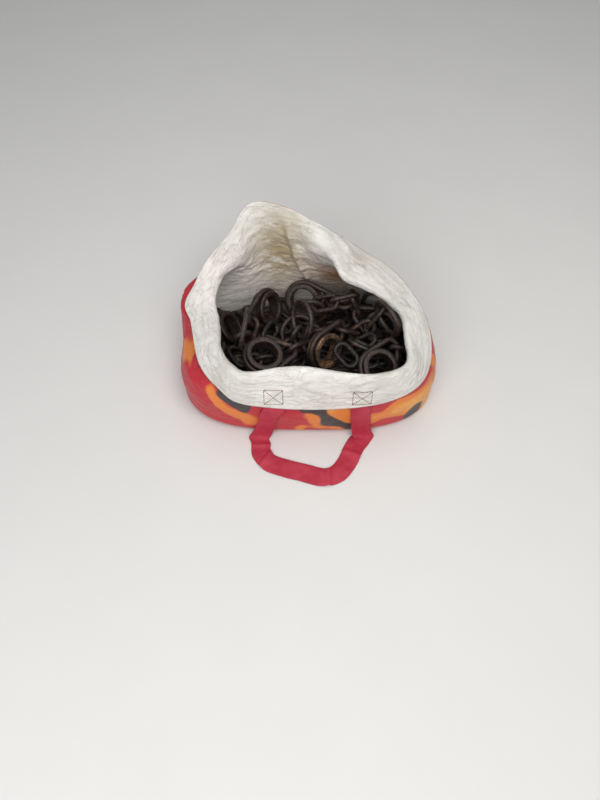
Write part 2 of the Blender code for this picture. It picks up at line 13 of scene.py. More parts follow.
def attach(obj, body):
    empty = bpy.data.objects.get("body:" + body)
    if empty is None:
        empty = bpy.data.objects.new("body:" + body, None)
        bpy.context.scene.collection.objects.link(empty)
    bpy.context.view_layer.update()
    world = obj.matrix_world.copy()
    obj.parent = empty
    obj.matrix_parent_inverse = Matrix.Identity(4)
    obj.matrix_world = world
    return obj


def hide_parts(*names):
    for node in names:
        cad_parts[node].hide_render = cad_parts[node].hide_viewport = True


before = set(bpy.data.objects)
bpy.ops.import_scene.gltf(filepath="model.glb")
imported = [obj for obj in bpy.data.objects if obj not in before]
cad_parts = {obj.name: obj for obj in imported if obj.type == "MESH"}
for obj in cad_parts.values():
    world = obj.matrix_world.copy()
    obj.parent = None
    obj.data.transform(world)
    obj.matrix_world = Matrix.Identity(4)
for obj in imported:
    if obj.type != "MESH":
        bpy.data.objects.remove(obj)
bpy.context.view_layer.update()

# Iron, as in the solids
LINK_ROD = 0.0094
LINK_LENGTH = 0.058
LINK_WIDTH = 0.034
RING_ROD = 0.0092
RING_OUTER = 0.073
LOOP_ROD = 0.0106
LOOP_NOSE_WIDTH = 0.037
LOOP_REACH = 0.063
BUSH_BORE = 0.045
BUSH_WALL = 0.0050
BUSH_FLANGE = 0.065
BUSH_HEIGHT = 0.027
FLANGE_THICKNESS = 0.006
CLEARANCE = 0.0003
GROOVE_RADIUS = BUSH_BORE / 2 + BUSH_WALL

# Bag, as in the solids
BAG_HALF_WIDTH = 0.230
BAG_HALF_DEPTH = 0.142
BAG_CENTRE = (0.005, -0.012)
BAG_CORNER = 3.0
BULGE_HEIGHT = 0.062
BASE_INSET = 0.020
BASE_ROUNDING = 0.014
CLOTH = 0.0014
FOLD_RADIUS = 0.006
WALL_SHARES = (0.35, 0.7)
FULL_SHOULDER = 0.060
CORNER_AZIMUTH = 154
CORNER_SPAN = 32
# A little more than in the solids, because the crinkles draw the cloth in
CORNER_BULGE = 0.040
CORNER_SOFTENING = 40  # passes of smoothing below the crest at the middle of the corner
# Azimuth in degrees, the crest's inset and height, the hem's inset and height
MOUTH = [
    (246, 0.025, 0.163, -0.002, 0.090),
    (268, 0.024, 0.165, -0.004, 0.089),
    (292, 0.016, 0.163, -0.004, 0.091),
    (312, 0.012, 0.158, -0.002, 0.094),
    (328, 0.024, 0.153, 0.004, 0.101),
    (344, 0.060, 0.150, 0.017, 0.114),
    (2, 0.068, 0.151, 0.024, 0.130),
    (20, 0.096, 0.160, 0.039, 0.147),
    (42, 0.104, 0.185, 0.024, 0.172),
    (68, 0.050, 0.208, 0.000, 0.202),
    (90, 0.012, 0.198, -0.012, 0.232),
    (107, -0.004, 0.182, -0.028, 0.250),
    (121, -0.006, 0.178, -0.038, 0.249),
    (136, 0.022, 0.174, -0.006, 0.213),
    (149, 0.040, 0.166, 0.010, 0.186),
    (159, 0.052, 0.153, 0.018, 0.160),
    (167, 0.062, 0.145, 0.009, 0.131),
    (177, 0.071, 0.144, 0.025, 0.130),
    (191, 0.074, 0.145, 0.034, 0.126),
    (203, 0.064, 0.148, 0.030, 0.117),
    (215, 0.043, 0.151, 0.017, 0.108),
    (228, 0.020, 0.156, -0.001, 0.097),
]
STEPS_PER_ROW = 17  # columns of the fine skin for each row of the table
SEARCH_STEPS = 40  # for each row where a place is looked for
WALL_ROWS = 106
WALL_LEVEL = 6  # which point of a profile lies high on the wall
CREST_LEVEL = 8  # and which on the crest
PROFILE_SMOOTHING = 2  # passes along each column
KEPT_BELOW_CREST = 4  # rows that the corner's smoothing leaves alone
NORMAL_SMOOTHING = 2  # passes round the skin, so that the lining stays inside it
BASE_RINGS = (0.2, 0.45, 0.7, 0.9)  # shares of the base's outline
GIRTH_SHARE = 0.9  # the bag's girth as a share of its box's
# Sag, and crinkles: the height's stretch and slant, the noise's offset, scale and octaves, and the depth
SAG_SCALE, SAG = 11, 0.0040
CRINKLES = [
    (2.1, 0.0, (0.0, 0.0, 0.0), 17, 2, 0.0035),
    (2.1, 0.0, (3.1, 1.7, 0.4), 52, 3, 0.0022),
    (3.2, 0.4, (0.7, 2.9, 1.3), 31, 2, 0.0019),
]
# Heights between which they set in above the base, and the wall comes clear of the iron
BASE_CALM = (0.004, 0.03)
IRON_TOP = (0.09, 0.13)
# What is left of them against the iron and on the crest, and what they gain in the middle of the cuff
HELD_SHARE = 0.35
CREST_SHARE = 0.12
CUFF_GAIN = 0.50
# Over what way from the crest, and on the cuff also from the hem, they set in, in widths of the cuff
CRISP_BELOW = 0.45
CRISP_ABOVE = 0.35
# Folds that stand out of the lining: both ends, how far they stand out, half their width
FOLDS = [
    ((-0.091, 0.155, 0.250), (-0.064, 0.112, 0.160), 0.0095, 0.012),
    ((-0.040, 0.140, 0.240), (0.008, 0.120, 0.100), 0.0100, 0.011),
    ((0.025, 0.125, 0.187), (0.130, 0.090, 0.095), 0.0070, 0.012),
    ((0.173, 0.052, 0.162), (0.176, 0.008, 0.150), 0.0060, 0.007),
    ((0.063, 0.118, 0.205), (0.118, 0.030, 0.180), 0.0060, 0.009),
    ((0.160, -0.104, 0.120), (0.160, -0.079, 0.160), 0.0050, 0.008),
    ((-0.190, 0.071, 0.145), (-0.146, 0.075, 0.170), 0.0045, 0.007),
]

# Handles, as in the solids
STRAP_WIDTH = 0.034
STRAP_THICKNESS = 0.0022
STRAP_SPACING = 0.145
STRAP_MIDDLE = 0.019
HANDLE_REACH = 0.105
REAR_DROP = 0.100
REAR_STANDOFF = 0.008
SEAT = 0.0010
REAR_SLACK = 0.003
STRAP_LINES = (-0.5, -0.25, 0.0, 0.25, 0.5)  # shares of its width
STRAP_STEPS, STRAP_LINE_STEPS = 9, 4  # fine rows and lines for each of the rough ones
EDGE_THINNING = 0.55
RIPPLE_SCALE = 42
RIPPLE_ROWS = 12  # over which it sets in at each end
HANGING_RIPPLE = 0.4  # share of it where the webbing doesn't lie
LYING_BELOW = 0.02
# Creases across the front webbing where it lies on the floor: both ends, height
CREASE_WIDTH = 0.007
CREASES = [
    ((-0.060, -0.190), (-0.086, -0.229), 0.0040),
    ((0.038, -0.225), (0.038, -0.265), 0.0045),
    ((0.058, -0.185), (0.100, -0.199), 0.0032),
    ((-0.096, -0.176), (-0.064, -0.176), 0.0024),
    ((-0.010, -0.229), (-0.014, -0.260), 0.0016),
]
FRONT_HANDLE = [
    (-0.66, 0.00), (-0.67, 0.12), (-0.66, 0.30), (-0.56, 0.48), (-0.38, 0.58), (-0.20, 0.65),
    (0.08, 0.75), (0.24, 0.68), (0.36, 0.47), (0.45, 0.20), (0.52, 0.06), (0.54, 0.00),
]
REAR_HANDLE = [
    (-0.50, 0.55), (-0.48, 0.30), (-0.34, 0.06), (-0.05, 0.0),
    (0.28, 0.05), (0.45, 0.28), (0.50, 0.55), (0.50, 0.7),
]

# Boxes of stitches, thrown onto the cuff from in front of it
THREAD = 0.0011
THREAD_SIDES = 6
# How far along a stitch, and how thick
THREAD_RINGS = [(0.0, 0.35), (0.15, 0.9), (0.5, 1.0), (0.85, 0.9), (1.0, 0.35)]
STITCH = 0.0034
STITCH_ENDS = (0.12, 0.88)
STITCH_LIFT = 0.0002
BOX_HALF_WIDTH = 0.0155
BOX_LOW, BOX_HIGH = 0.099, 0.132
BOX_FRONT = -0.155
THROW = (0.0, 0.9, -0.44)
THROW_FROM = 0.05

# Forged surfaces, as depth and scale. On a bar the depths are shares of its radius
BAR_WANDER, BAR_DENT, BAR_PIT = (0.05, 45), (0.07, 150), (0.025, 260)
BUSH_DENT, BUSH_PIT = (0.0010, 95), (0.0003, 210)
SEED_STEP = 1.7
# Steps round each kind and round its bar, and the length of a step over the bush's outline
STEPS = {"link": 110, "ring": 150, "loop": 150, "bush": 96}
BAR_SIDES = 20
BUSH_STEP = 0.0016

# Chain that is buried in the gaps
BURIED_DRAW = 11
BURIED = ["bush"] * 16 + ["link"] * 90 + ["ring"] * 22 + ["link"] * 40
BURIED_TRIES = 14
BURIED_X, BURIED_Y = (-0.19, 0.20), (-0.12, 0.10)
BURIED_TILT = 0.55
BURIED_LOW, BURIED_RISE, BURIED_RISES = 0.028, 0.003, 30
BURIED_SINK = 0.0006
SKIN_GAP = 0.001
WALL_GAP = 0.008
# The highest that a piece's middle may lie in front of and behind this line
BURIED_LINE, HIGHEST_FRONT, HIGHEST_REAR = 0.02, 0.088, 0.072
BURIED_STEPS = {"link": 44, "ring": 56, "bush": 40}
BURIED_SIDES = 10
BURIED_SEED = 20.0
# Room for it: two corners, the size of a cell, and the largest distance that is kept
ROOM = ((-0.24, -0.17, 0.0), (0.25, 0.15, 0.2))
CELL, FAR = 0.002, 0.012
BAR_SAMPLES, BUSH_SAMPLES = 36, 32
SAMPLE_RADIUS = 0.003

# Looks
TAPE, RIB = 0.0024, 0.0016  # pitch of the bag's tapes and the webbing's ribs
# Stains on the lining, and in the second and third rows painted shade on the right cuff: middle, size, range
# of the streaks, share, tone
STAINS_AND_SHADE = [
    ((-0.045, 0.13, 0.17), (0.080, 0.10, 0.15), (0.28, 0.52), 0.92, (0.36, 0.265, 0.12)),
    ((0.165, 0.0, 0.14), (0.030, 0.080, 0.05), (0.36, 0.60), 0.55, (0.42, 0.41, 0.33)),
    ((0.095, 0.075, 0.19), (0.05, 0.045, 0.03), (0.36, 0.60), 0.55, (0.42, 0.41, 0.33)),
    ((0.065, 0.105, 0.125), (0.110, 0.09, 0.095), (0.27, 0.46), 0.95, (0.31, 0.145, 0.048)),
]
# Kinds of iron: dark, warm and rust tones, and where in the noise the rust starts
FORGED = ((0.022, 0.013, 0.011), (0.066, 0.042, 0.035), (0.13, 0.060, 0.028), 0.60)
RUSTY = ((0.048, 0.032, 0.024), (0.125, 0.078, 0.052), (0.32, 0.175, 0.090), 0.47)
# Painted shade: a darker copy of the forged iron for the buried chain and the heap's core, which lie in shade
UNLIT = ((0.012, 0.009, 0.008), (0.036, 0.027, 0.022), (0.09, 0.042, 0.022), 0.60)
RUSTY_NODE = "chain_4_bush"

# Stage
FLOOR_SIZE, FLOOR_DROP = 6.0, -0.0004
# Lights: name, place, aim, size, power, colour
LIGHTS = [
    ("key", (0.50, -0.85, 1.85), (0.0, 0.0, 0.1), 1.2, 18, (1.0, 0.98, 0.94)),
    ("fill", (-0.55, -1.5, 1.15), (0.0, 0.0, 0.1), 1.3, 15, (0.97, 0.98, 1.0)),
    ("top", (0.0, 0.3, 2.2), (0.0, 0.0, 0.0), 1.6, 9, (1, 1, 1)),
]
WORLD, WORLD_STRENGTH = (0.85, 0.87, 0.9, 1), 0.36
SENSOR = 36
FOCAL_PIXELS, PICTURE_HEIGHT = 669, 800
CAMERA = (-0.01, -0.765, 1.016)
CAMERA_TILT = 34

FULL_TURN = 2 * math.pi


# Meshes


def placed(name, data):
    """An object in the scene."""
    item = bpy.data.objects.new(name, data)
    bpy.context.scene.collection.objects.link(item)
    return item


def piece_from(name, points, faces, *finishes, face_finish=None):
    """A piece on the root body from points and faces."""
    mesh = bpy.data.meshes.new(name)
    mesh.from_pydata([tuple(p) for p in points], [], faces)
    for finish in finishes:
        mesh.materials.append(finish)
    if face_finish is not None:
        mesh.polygons.foreach_set("material_index", face_finish)
    mesh.shade_smooth()
    mesh.update()
    item = placed(name, mesh)
    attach(item, "root")
    return item


def crumple(place, scale, octaves):
    """Noise from -1 to 1."""
    total, share, weight = 0.0, 1.0, 0.0
    for _ in range(octaves):
        total += share * noise.noise(place * scale)
        weight += share
        share *= 0.5
        scale *= 2.03
    return total / weight


def creases(place, scale, octaves):
    """Sharp-edged ridges from 0 to 1."""
    total, share, weight = 0.0, 1.0, 0.0
    for _ in range(octaves):
        total += share * (1 - min(1.0, 2.6 * abs(noise.noise(place * scale)))) ** 2
        weight += share
        share *= 0.55
        scale *= 2.1
    return total / weight


def grid_faces(rows, columns, start=0, closed_rows=False, flip=False):
    """Quads over a grid of points; the columns always run round and close."""
    faces = []
    for r in range(rows if closed_rows else rows - 1):
        low, high = start + r * columns, start + (r + 1) % rows * columns
        for c in range(columns):
            d = (c + 1) % columns
            quad = (low + c, low + d, high + d, high + c)
            faces.append(quad[::-1] if flip else quad)
    return faces


def tube_ends(rows, size, start=0):
    """The two faces that close a tube of such a grid."""
    last = start + (rows - 1) * size
    return [tuple(reversed(range(start, start + size))), tuple(range(last, last + size))]


# Materials


class Look:
    """A Principled material and short ways to add its nodes."""

    def __init__(self, name, roughness, metallic=0.0):
        self.made = bpy.data.materials.new(name)
        self.made.use_nodes = True
        self.tree = self.made.node_tree
        self.shader = self.tree.nodes["Principled BSDF"]
        self.shader.inputs["Roughness"].default_value = roughness
        self.shader.inputs["Metallic"].default_value = metallic

    def node(self, kind, inputs=None, **settings):
        made = self.tree.nodes.new("ShaderNode" + kind)
        for name, value in settings.items():
            setattr(made, name, value)
        for name, value in (inputs or {}).items():
            self.feed(made.inputs[name], value)
        return made

    def feed(self, socket, value):
        if isinstance(value, bpy.types.NodeSocket):
            self.tree.links.new(value, socket)
        else:
            colour = isinstance(value, tuple) and socket.type == "RGBA"
            socket.default_value = (*value, 1) if colour else value

    def place(self):
        return self.node("TexCoord").outputs["Object"]

    def cloth_place(self):
        return self.node("UVMap", uv_map="cloth").outputs["UV"]

    def stretched(self, place, scale):
        return self.node("Mapping", {"Vector": place, "Scale": scale}).outputs["Vector"]

    def noise(self, place, scale, detail=4, rough=0.55, distortion=0.0):
        values = {"Vector": place, "Scale": scale, "Detail": detail, "Roughness": rough}
        return self.node("TexNoise", {**values, "Distortion": distortion}).outputs["Fac"]

    def step(self, value, low, high, smooth=True):
        """From 0 below low to 1 above high."""
        kind = "SMOOTHSTEP" if smooth else "LINEAR"
        return self.node("MapRange", {"Value": value, "From Min": low, "From Max": high},
                         interpolation_type=kind).outputs["Result"]

    def lines(self, place, scale, width, detail=2, distortion=0.0):
        """Thin wandering lines, 1 along their middle."""
        field = self.noise(place, scale, detail, 0.5, distortion)
        off = self.math("ABSOLUTE", self.math("SUBTRACT", field, 0.5), 0.0)
        return self.step(off, width, 0.0, smooth=False)

    def math(self, operation, a, b=0.5):
        return self.node("Math", {0: a, 1: b}, operation=operation).outputs[0]

    def mix(self, share, a, b):
        made = self.node("Mix", data_type="RGBA")
        self.feed(made.inputs[0], share)
        self.feed(made.inputs[6], a)
        self.feed(made.inputs[7], b)
        return made.outputs[2]

    def tint(self, mask, share, colour, tone):
        """A colour turned towards a tone by a share, where the mask is 1."""
        return self.mix(self.math("MULTIPLY", mask, share), colour, tone)

    def near(self, place, centre, size):
        """From 1 at a centre to 0 at a distance, each axis in its own size."""
        centred = self.node("VectorMath", {0: place, 1: centre}, operation="SUBTRACT").outputs[0]
        scaled = self.node("VectorMath", {0: centred, 1: size}, operation="DIVIDE").outputs[0]
        far = self.node("VectorMath", {0: scaled}, operation="LENGTH").outputs["Value"]
        return self.step(far, 1.0, 0.0)

    def bump(self, *layers):
        """Layers of (height, strength, distance), one on the other."""
        normal = None
        for height, strength, distance in layers:
            made = self.node("Bump", {"Height": height, "Strength": strength, "Distance": distance})
            if normal:
                self.feed(made.inputs["Normal"], normal)
            normal = made.outputs["Normal"]
        self.feed(self.shader.inputs["Normal"], normal)

    def finish(self, colour, roughness=None):
        self.feed(self.shader.inputs["Base Color"], colour)
        if roughness is not None:
            self.feed(self.shader.inputs["Roughness"], roughness)
        return self.made


def iron_look(name, dark, warm, rust, rust_from):
    """Forged iron under dark scale, rubbed where it stands out and rusty in patches."""
    look = Look(name, 0.6, 0.35)
    look.shader.inputs["Specular IOR Level"].default_value = 0.65
    place = look.place()
    broad = look.noise(place, 38, 3)
    grain = look.noise(place, 210, 6, 0.65)
    fine = look.noise(place, 900, 3, 0.6)
    colour = look.mix(look.step(grain, 0.38, 0.66), dark, warm)
    broadly = look.step(broad, rust_from, rust_from + 0.10)
    patches = look.math("MULTIPLY", broadly, look.step(grain, 0.34, 0.58))
    colour = look.mix(patches, colour, rust)
    specks = look.step(look.noise(place, 420, 2), 0.66, 0.72)
    colour = look.tint(specks, 0.55, colour, (0.17, 0.13, 0.10))
    proud = look.step(look.node("NewGeometry").outputs["Pointiness"], 0.515, 0.56)
    rubbed = look.math("MULTIPLY", proud, look.step(broad, 0.35, 0.6))
    colour = look.tint(rubbed, 0.6, colour, (0.15, 0.125, 0.105))
    rough = look.node("MapRange", {"Value": grain, "To Min": 0.34, "To Max": 0.66}).outputs["Result"]
    look.bump((grain, 0.55, 0.0012), (fine, 0.35, 0.0004))
    return look.finish(colour, rough)


def weave(look, place, pitch):
    """Flat tapes woven over and under: a height from 0 to 1."""
    parts = look.node("SeparateXYZ", {"Vector": place})
    across, along = parts.outputs["X"], parts.outputs["Y"]
    waves = []
    for value in (across, along):
        turned = look.math("MULTIPLY", value, math.pi / pitch)
        waves.append(look.math("ABSOLUTE", look.math("SINE", turned, 0.0), 0.0))
    squares = {"Vector": place, "Scale": 1 / pitch, "Color1": (1, 1, 1), "Color2": (0, 0, 0)}
    cells = look.node("TexChecker", squares)
    over = look.node("Mix", data_type="FLOAT")
    look.feed(over.inputs[0], cells.outputs["Fac"])
    look.feed(over.inputs[2], waves[0])
    look.feed(over.inputs[3], waves[1])
    return look.math("POWER", over.outputs[0], 0.5)


def lining_look():
    """Off-white woven plastic, crinkled, with painted shade in its creases, low round the iron and on the
    right cuff, painted light on its inner walls, and stained by the iron.
    """
    look = Look("lining", 0.48)
    place, cloth = look.place(), look.cloth_place()
    tapes = weave(look, cloth, TAPE)
    soft = look.noise(place, 14, 5, 0.6)
    streaks = look.noise(look.stretched(cloth, (22, 90, 1)), 1.0, 6, 0.65, 0.6)
    level = look.lines(look.stretched(cloth, (13, 62, 1)), 1.0, 0.030, 3, 0.7)
    loose = look.lines(look.stretched(cloth, (34, 44, 1)), 1.0, 0.022, 2, 1.0)
    fine = look.lines(look.stretched(cloth, (90, 150, 1)), 1.0, 0.030, 2, 0.8)
    colour = look.mix(look.step(soft, 0.40, 0.68), (0.79, 0.77, 0.72), (0.67, 0.64, 0.585))
    colour = look.tint(look.step(streaks, 0.50, 0.72), 0.40, colour, (0.52, 0.47, 0.43))
    # Painted light: the bag's inner walls are tinted lighter and pinker than the rest of the lining, to
    # brighten them in their shade
    inside = look.near(place, (-0.06, 0.07, 0.12), (0.20, 0.14, 0.12))
    colour = look.tint(inside, 0.80, colour, (0.93, 0.81, 0.75))
    # Real stains, and patches of painted shade on the right cuff
    for middle, size, streaked, share, tone in STAINS_AND_SHADE:
        stain_and_shade = look.math("MULTIPLY", look.near(place, middle, size), look.step(streaks, *streaked))
        colour = look.tint(stain_and_shade, share, colour, tone)
    # Painted shade: the crease lines are darkened where shade falls in them
    for crease_shade, share in ((level, 0.24), (loose, 0.09), (fine, 0.06)):
        colour = look.tint(crease_shade, share, colour, (0.33, 0.27, 0.22))
    # Painted shade: the lining is darkened low down round the iron heap
    low = look.step(look.node("SeparateXYZ", {"Vector": place}).outputs["Z"], 0.125, 0.075)
    low_shade = look.math("MULTIPLY", low, look.near(place, (0.005, -0.01, 0.06), (0.26, 0.17, 0.12)))
    colour = look.tint(low_shade, 0.8, colour, (0.16, 0.115, 0.085))
    specks = look.step(look.noise(place, 150, 2), 0.725, 0.765)
    colour = look.tint(specks, 0.7, colour, (0.12, 0.09, 0.075))
    look.bump((streaks, 0.5, 0.0022), (level, 0.5, -0.0012), (loose, 0.35, 0.0007),
              (fine, 0.4, 0.0005), (tapes, 0.30, 0.00025))
    return look.finish(colour)


def print_look():
    """The bag's outside: a red ground with a few soft orange clouds and charcoal patches."""
    look = Look("printed_cloth", 0.40)
    place, cloth = look.place(), look.cloth_place()
    tapes = weave(look, cloth, TAPE)
    clouds = look.noise(look.stretched(place, (7.6, 7.6, 10)), 1.0, 2, 0.45, 0.6)
    spots = look.noise(look.stretched(place, (15, 15, 17)), 1.0, 0, 0.5)
    creased = look.lines(look.stretched(cloth, (26, 34, 1)), 1.0, 0.020, 2, 1.0)
    colour = look.mix(look.step(clouds, 0.56, 0.60), (0.50, 0.024, 0.036), (0.74, 0.21, 0.035))
    colour = look.mix(look.step(clouds, 0.64, 0.70), colour, (0.80, 0.36, 0.08))
    colour = look.mix(look.step(spots, 0.66, 0.69), colour, (0.055, 0.045, 0.048))
    worn = look.step(look.noise(place, 60, 6, 0.7), 0.58, 0.72)
    colour = look.tint(worn, 0.22, colour, (0.58, 0.40, 0.34))
    # Painted shade: the crease lines are darkened
    colour = look.tint(creased, 0.12, colour, (0.12, 0.03, 0.03))
    look.bump((look.noise(place, 90, 5), 0.4, 0.0012), (creased, 0.15, -0.0005), (tapes, 0.30, 0.00025))
    return look.finish(colour)


def webbing_look():
    """Crimson webbing with ribs across it."""
    look = Look("webbing", 0.62)
    place, cloth = look.place(), look.cloth_place()
    tapes = weave(look, cloth, RIB)
    soft = look.noise(place, 30, 5, 0.6)
    colour = look.mix(look.step(soft, 0.38, 0.66), (0.45, 0.018, 0.044), (0.55, 0.040, 0.072))
    colour = look.tint(tapes, 0.25, colour, (0.30, 0.008, 0.03))
    dirt = look.step(look.noise(place, 75, 6, 0.7), 0.60, 0.74)
    colour = look.tint(dirt, 0.35, colour, (0.20, 0.06, 0.06))
    look.bump((look.noise(place, 140, 4), 0.3, 0.0008), (tapes, 0.6, 0.0004))
    return look.finish(colour)


def plain_look(name, roughness, scale, dark, pale):
    """Soft clouds of two tones."""
    look = Look(name, roughness)
    return look.finish(look.mix(look.noise(look.place(), scale, 3), dark, pale))


# Bag


def between(a, b, c, d, t):
    """A smooth way from b to c, with a before and d after them."""
    return b + 0.5 * t * (c - a + t * (2 * a - 5 * b + 4 * c - d + t * (3 * (b - c) + d - a)))


def smooth(values, place):
    base = math.floor(place)
    return between(*(values[(base + i) % len(values)] for i in (-1, 0, 1, 2)), place - base)


def outline_reach(azimuth):
    across = abs(math.cos(azimuth) / BAG_HALF_WIDTH) ** BAG_CORNER
    deep = abs(math.sin(azimuth) / BAG_HALF_DEPTH) ** BAG_CORNER
    return (across + deep) ** (-1 / BAG_CORNER)


def mouth_at(place):
    """Azimuth, and the crest's and the hem's inset and height, at a place in rows of the table."""
    azimuths = [row[0] for row in MOUTH]
    base = math.floor(place)
    start, after = azimuths[base % len(MOUTH)], azimuths[(base + 1) % len(MOUTH)]
    azimuth = start + (place - base) * ((after - start) % 360)
    return math.radians(azimuth), *(smooth([row[i] for row in MOUTH], place) for i in (1, 2, 3, 4))


def bulging(azimuth):
    """From 1 at the middle of the rear left corner to 0 beyond it."""
    away = min(1.0, abs(math.degrees(azimuth) - CORNER_AZIMUTH) / CORNER_SPAN)
    return 1 - away * away * (3 - 2 * away)


def bag_profile(place):
    """Inset and height of the bag's outer face up one column, from the base to the hem."""
    azimuth, crest_in, crest_z, hem_in, hem_z = mouth_at(place)
    turn = math.atan2(max(crest_in - hem_in, 0.0), hem_z - crest_z)
    folded = (1 - math.cos(turn)) / 2
    points = [
        (0.5 * outline_reach(azimuth), 0.0),
        (BASE_INSET, 0.0),
        (BASE_INSET * 0.35, BASE_ROUNDING * 0.35),
        (BASE_INSET * 0.10, BASE_ROUNDING),
        (0.0, BULGE_HEIGHT),
    ]
    top_in = crest_in + folded * FOLD_RADIUS
    top_z = crest_z - FOLD_RADIUS
    full = min(1.0, max(0.0, top_in / FULL_SHOULDER))
    corner = bulging(azimuth)
    for t in WALL_SHARES:
        share = t * t * ((1 - full) * (3 - 2 * t) + full)
        inset = (1 - corner) * top_in * share - corner * CORNER_BULGE * t
        points.append((inset, BULGE_HEIGHT + (top_z - BULGE_HEIGHT) * t))
    points.append((top_in, top_z))
    points.append((crest_in, crest_z))
    start = (crest_in - folded * FOLD_RADIUS, crest_z + math.cos(turn) * FOLD_RADIUS)
    for t in (0.0, 0.5, 1.0):
        points.append((start[0] + (hem_in - start[0]) * t, start[1] + (hem_z - start[1]) * t))
    return azimuth, points


def bag_point(azimuth, inset, height):
    reach = outline_reach(azimuth) - inset
    x, y = BAG_CENTRE
    return Vector((x + reach * math.cos(azimuth), y + reach * math.sin(azimuth), height))


def spaced(points, count):
    """Points at even steps along a line of points, and how far along it each given point lies."""
    points = np.array(points)
    lengths = np.linalg.norm(np.diff(points, axis=0), axis=1)
    reached = np.concatenate([[0], np.cumsum(lengths)])
    wanted = np.linspace(0, reached[-1], count)
    found = [np.interp(wanted, reached, points[:, i]) for i in range(points.shape[1])]
    return np.stack(found, axis=1), reached


def bag_grid():
    """Points of the printed face, row by row from the base to the hem, and how far up the cuff each lies."""
    columns = len(MOUTH) * STEPS_PER_ROW
    grid = np.zeros((WALL_ROWS, columns, 3))
    cuff = np.zeros((WALL_ROWS, columns))
    for c in range(columns):
        azimuth, profile = bag_profile(c / STEPS_PER_ROW)
        line, reached = spaced(profile[1:], WALL_ROWS)
        for _ in range(PROFILE_SMOOTHING):
            line[1:-1] = (line[:-2] + 2 * line[1:-1] + line[2:]) / 4
        crest = reached[CREST_LEVEL - 1] / reached[-1]
        top = int(crest * WALL_ROWS) - KEPT_BELOW_CREST
        for _ in range(round(CORNER_SOFTENING * bulging(azimuth))):
            line[1:top] = (line[:top - 1] + 2 * line[1:top] + line[2:top + 1]) / 4
        grid[:, c] = [bag_point(azimuth, *point) for point in line]
        cuff[:, c] = (np.linspace(0, 1, WALL_ROWS) - crest) / (1 - crest)
    return grid, cuff


def grid_normals(grid):
    """Normals of the printed face."""
    along = np.roll(grid, -1, axis=1) - np.roll(grid, 1, axis=1)
    up = np.gradient(grid, axis=0)
    normals = np.cross(along, up)
    return normals / np.linalg.norm(normals, axis=2, keepdims=True)


def ramp(value, low, high):
    t = min(1.0, max(0.0, (value - low) / (high - low)))
    return t * t * (3 - 2 * t)


def ridge(place, start, end, width):
    """From 1 on a straight line between two points to 0 at a distance."""
    along = end - start
    share = min(1.0, max(0.0, (place - start).dot(along) / along.length_squared))
    far = (place - start - share * along).length / width
    return max(0.0, 1 - far) ** 1.5


def crinkled(grid, cuff):
    """The grid with sag, crinkles and folds, all towards the lining so that the straps stay clear."""
    normals = grid_normals(grid)
    out = grid.copy()
    rows, columns = cuff.shape
    for r in range(rows):
        for c in range(columns):
            place = Vector(grid[r, c])
            on_cuff = cuff[r, c]
            depth = SAG * (0.5 + 0.5 * crumple(place, SAG_SCALE, 2))
            for stretch, slant, offset, scale, octaves, deep in CRINKLES:
                laid = Vector((place.x, place.y, stretch * place.z + slant * place.x))
                depth += deep * creases(laid + Vector(offset), scale, octaves)
            if on_cuff < 0:
                clear = HELD_SHARE + (1 - HELD_SHARE) * ramp(place.z, *IRON_TOP)
                off_crest = CREST_SHARE + (1 - CREST_SHARE) * ramp(-on_cuff, 0.0, CRISP_BELOW)
                depth *= clear * off_crest
            else:
                from_crest, from_hem = (ramp(way, 0.0, CRISP_ABOVE) for way in (on_cuff, 1 - on_cuff))
                depth *= CREST_SHARE + CUFF_GAIN * from_crest * from_hem
            for start, end, height, width in FOLDS:
                depth += height * ridge(place, Vector(start), Vector(end), width)
            out[r, c] = grid[r, c] - normals[r, c] * depth * ramp(place.z, *BASE_CALM)
    return out


def bag_piece(finishes):
    """One closed skin: the printed face, the lining inside it, the hem between them and the base."""
    grid, cuff = bag_grid()
    grid = crinkled(grid, cuff)
    normals = grid_normals(grid)
    for _ in range(NORMAL_SMOOTHING):
        normals = (np.roll(normals, 1, axis=1) + 2 * normals + np.roll(normals, -1, axis=1)) / 4
    lining = grid - normals * CLOTH
    columns = grid.shape[1]
    centre = np.array([*BAG_CENTRE, 0.0])
    raised = centre + [0, 0, CLOTH]
    outer = [centre + (grid[0] - centre) * [s, s, 0] for s in BASE_RINGS] + list(grid)
    inner = [raised + (lining[0] - centre) * [s, s, 0] for s in BASE_RINGS] + list(lining)
    inner[len(BASE_RINGS)][:, 2] = CLOTH
    rows = outer + inner[::-1]
    points = np.concatenate(rows)
    faces = grid_faces(len(rows), columns)
    printed = len(outer) * columns
    finish = [0] * printed + [1] * (len(faces) - printed)
    points = np.concatenate([points, [centre, raised]])
    first, last = len(points) - 2, len(points) - 1
    end = (len(rows) - 1) * columns
    for c in range(columns):
        d = (c + 1) % columns
        faces.append((first, d, c))
        faces.append((last, end + c, end + d))
        finish += [0, 1]
    bag = piece_from("woven_bag", points, faces, *finishes, face_finish=finish)
    cloth_map(bag, rows)
    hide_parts("bag_shell")
    return bag


